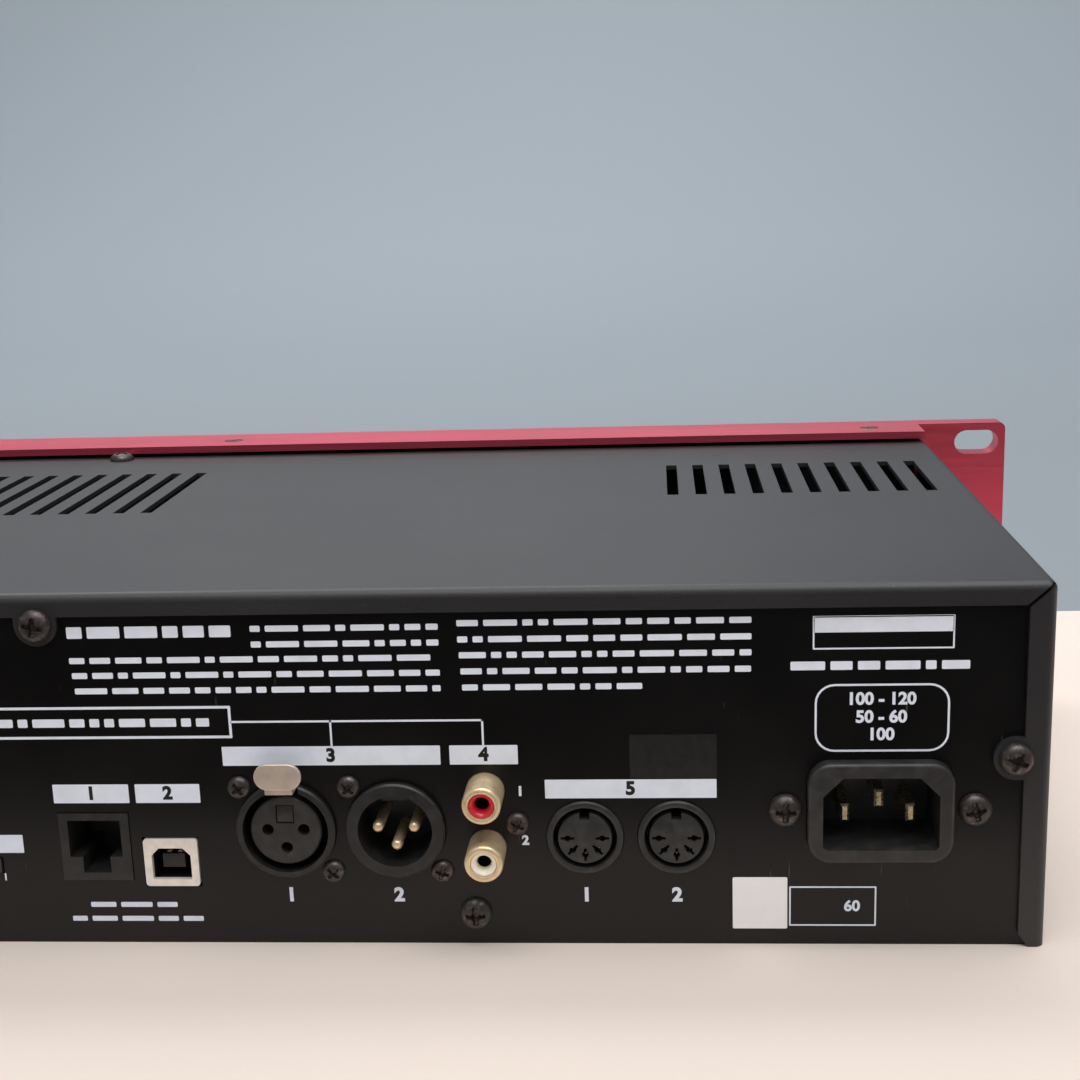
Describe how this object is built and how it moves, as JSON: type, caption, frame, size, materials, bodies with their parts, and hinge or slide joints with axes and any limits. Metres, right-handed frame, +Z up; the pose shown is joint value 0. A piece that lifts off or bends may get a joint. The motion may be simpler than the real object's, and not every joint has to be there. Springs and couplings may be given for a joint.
{
  "type": "rack effects unit",
  "caption": "Two-unit rack effects processor: steel body under a vented cover, thick red rack panel with controls, rear panel with mains, audio, data and pedal sockets.",
  "frame": {"origin": "middle of the rack mounting plane, which is the rear face of the panel ears, centred between the four ear slots", "axes": "+X right seen from the front, -Y out of the front, +Y to the rear panel, +Z up"},
  "size_m": [0.4826, 0.2088, 0.0882],
  "materials": {
    "cover_paint": "fine-textured dark grey powder coat",
    "black_paint": "semi-gloss black enamel with white print",
    "red_anodised": "satin red anodised aluminium",
    "galvanised": "bare zinc-plated sheet",
    "black_screw": "black oxide, worn in the recess",
    "black_plastic": "moulded black thermoplastic",
    "dark_plastic": "moulded dark grey thermoplastic",
    "gold": "thin gold plate",
    "tinned_brass": "nickel-plated brass",
    "nickel": "nickel-plated sheet",
    "latch_steel": "brushed stainless sheet",
    "insulator": "moulded insulator, one red and one cream",
    "window": "smoked acrylic",
    "board_green": "solder-masked glass-epoxy board",
    "component_black": "moulded component cases",
    "heatsink_black": "black anodised",
    "ferrite": "ferrite core with taped winding",
    "capacitor_sleeve": "shrunk vinyl sleeve",
    "ribbon_grey": "grey ribbon insulation, one edge red",
    "knob_black": "moulded knob with a light pointer",
    "button_grey": "moulded button cap"
  },
  "bodies": {
    "chassis": {"board_components": "component_black", "board_standoffs": "nickel", "bottom_tray": "black_paint", "connector_screws": "black_screw", "display_module": "component_black", "display_window": "window", "faceplate": "red_anodised", "faceplate_screws": "black_screw", "front_subpanel": "galvanised", "ground_switch_body": "black_plastic", "heatsink": "heatsink_black", "jack_nuts": "nickel", "main_board": "board_green", "mains_blades": "tinned_brass", "mains_inlet": "dark_plastic", "midi_sockets": "black_plastic", "panel_screws": "black_screw", "pedal_contacts": "gold", "pedal_socket": "black_plastic", "phone_jacks": "black_plastic", "pot_bodies": "nickel", "power_supply_board": "board_green", "power_switch_body": "black_plastic", "rca_block": "black_plastic", "rca_insulators": "insulator", "rca_shells": "gold", "rear_panel": "black_paint", "ribbon_cable": "ribbon_grey", "supply_capacitors": "capacitor_sleeve", "supply_transformer": "ferrite", "tact_switches": "component_black", "top_cover": "cover_paint", "ui_board": "board_green", "usb_shell": "nickel", "usb_tongue": "black_plastic", "xlr_in_insert": "dark_plastic", "xlr_in_shell": "black_plastic", "xlr_out_pins": "gold", "xlr_out_shells": "black_plastic"},
    "xlr_latch": {"xlr_in_latch": "latch_steel"},
    "ground_lift_slider": {"ground_switch_lever": "dark_plastic"},
    "power_rocker": {"power_rocker": "black_plastic"},
    "drive_knob": {"drive_knob": "knob_black", "drive_shaft": "nickel"},
    "bass_knob": {"bass_knob": "knob_black", "bass_shaft": "nickel"},
    "middle_knob": {"middle_knob": "knob_black", "middle_shaft": "nickel"},
    "treble_knob": {"treble_knob": "knob_black", "treble_shaft": "nickel"},
    "level_knob": {"level_knob": "knob_black", "level_shaft": "nickel"},
    "select_knob": {"select_knob": "knob_black", "select_shaft": "nickel"},
    "page_button": {"page_button": "button_grey"},
    "save_button": {"save_button": "button_grey"},
    "tap_button": {"tap_button": "button_grey"},
    "tuner_button": {"tuner_button": "button_grey"},
    "back_button": {"back_button": "button_grey"},
    "enter_button": {"enter_button": "button_grey"}
  },
  "joints": [
    {"name": "xlr_latch_press", "type": "slide", "parent": "chassis", "child": "xlr_latch", "axis": [0, -1, 0], "range_m": [0, 0.0025], "stiffness_N_per_m": 400, "springref_m": -0.002},
    {"name": "ground_lift_slide", "type": "slide", "parent": "chassis", "child": "ground_lift_slider", "axis": [1, 0, 0], "range_m": [0, 0.004]},
    {"name": "power_rock", "type": "hinge", "parent": "chassis", "child": "power_rocker", "pos_m": [-0.196, -0.004, 0], "axis": [1, 0, 0], "range_deg": [0, 16]},
    {"name": "drive_knob_turn", "type": "hinge", "parent": "chassis", "child": "drive_knob", "pos_m": [-0.024, -0.008, 0.006], "axis": [0, 1, 0], "range_deg": [-150, 150]},
    {"name": "bass_knob_turn", "type": "hinge", "parent": "chassis", "child": "bass_knob", "pos_m": [0.008, -0.008, 0.006], "axis": [0, 1, 0], "range_deg": [-150, 150]},
    {"name": "middle_knob_turn", "type": "hinge", "parent": "chassis", "child": "middle_knob", "pos_m": [0.04, -0.008, 0.006], "axis": [0, 1, 0], "range_deg": [-150, 150]},
    {"name": "treble_knob_turn", "type": "hinge", "parent": "chassis", "child": "treble_knob", "pos_m": [0.072, -0.008, 0.006], "axis": [0, 1, 0], "range_deg": [-150, 150]},
    {"name": "level_knob_turn", "type": "hinge", "parent": "chassis", "child": "level_knob", "pos_m": [0.104, -0.008, 0.006], "axis": [0, 1, 0], "range_deg": [-150, 150]},
    {"name": "select_knob_turn", "type": "hinge", "parent": "chassis", "child": "select_knob", "pos_m": [0.144, -0.008, 0.01], "axis": [0, 1, 0], "continuous": true},
    {"name": "page_button_press", "type": "slide", "parent": "chassis", "child": "page_button", "axis": [0, 1, 0], "range_m": [0, 0.001], "stiffness_N_per_m": 300, "springref_m": -0.002},
    {"name": "save_button_press", "type": "slide", "parent": "chassis", "child": "save_button", "axis": [0, 1, 0], "range_m": [0, 0.001], "stiffness_N_per_m": 300, "springref_m": -0.002},
    {"name": "tap_button_press", "type": "slide", "parent": "chassis", "child": "tap_button", "axis": [0, 1, 0], "range_m": [0, 0.001], "stiffness_N_per_m": 300, "springref_m": -0.002},
    {"name": "tuner_button_press", "type": "slide", "parent": "chassis", "child": "tuner_button", "axis": [0, 1, 0], "range_m": [0, 0.001], "stiffness_N_per_m": 300, "springref_m": -0.002},
    {"name": "back_button_press", "type": "slide", "parent": "chassis", "child": "back_button", "axis": [0, 1, 0], "range_m": [0, 0.001], "stiffness_N_per_m": 300, "springref_m": -0.002},
    {"name": "enter_button_press", "type": "slide", "parent": "chassis", "child": "enter_button", "axis": [0, 1, 0], "range_m": [0, 0.001], "stiffness_N_per_m": 300, "springref_m": -0.002}
  ]
}
